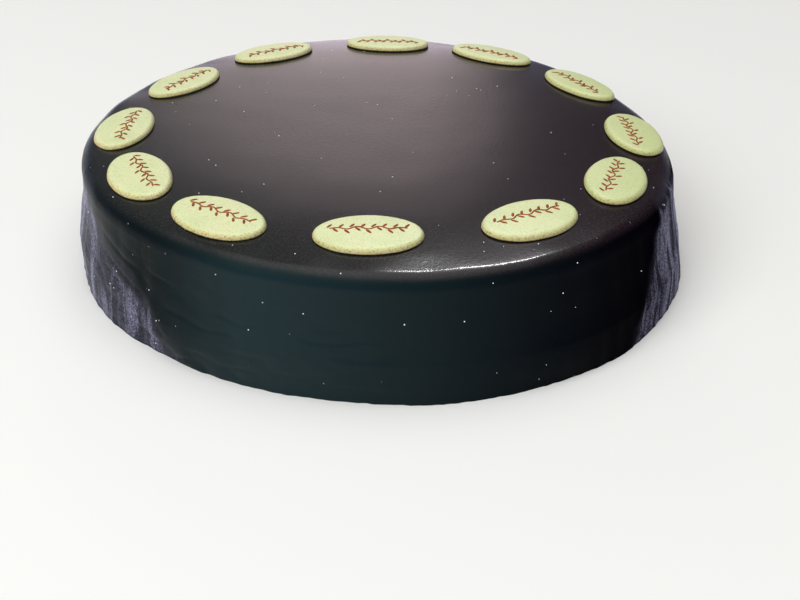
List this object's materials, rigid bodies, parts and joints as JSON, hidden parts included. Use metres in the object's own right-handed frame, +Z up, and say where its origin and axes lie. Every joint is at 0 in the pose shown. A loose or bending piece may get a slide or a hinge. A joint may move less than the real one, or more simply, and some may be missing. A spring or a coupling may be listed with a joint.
{
  "type": "sachertorte cake",
  "caption": "Whole uncut round chocolate torte under a smooth dark glaze, with a ring of oval marzipan medallions on its top.",
  "frame": {"origin": "centre of the flat base, on the surface that the cake stands on", "axes": "+Z up through the middle of the cake; -Y is the front, where the first medallion lies; +X to the right seen from the front"},
  "size_m": [0.2433, 0.2434, 0.0521],
  "materials": {
    "chocolate_glaze": "glossy poured chocolate glaze, nearly black",
    "marzipan": "satin, pale ivory green, slightly grainy"
  },
  "bodies": {
    "root": {"glazed_cake": "chocolate_glaze", "medallion_01": "marzipan", "medallion_02": "marzipan", "medallion_03": "marzipan", "medallion_04": "marzipan", "medallion_05": "marzipan", "medallion_06": "marzipan", "medallion_07": "marzipan", "medallion_08": "marzipan", "medallion_09": "marzipan", "medallion_10": "marzipan", "medallion_11": "marzipan", "medallion_12": "marzipan"}
  },
  "joints": []
}
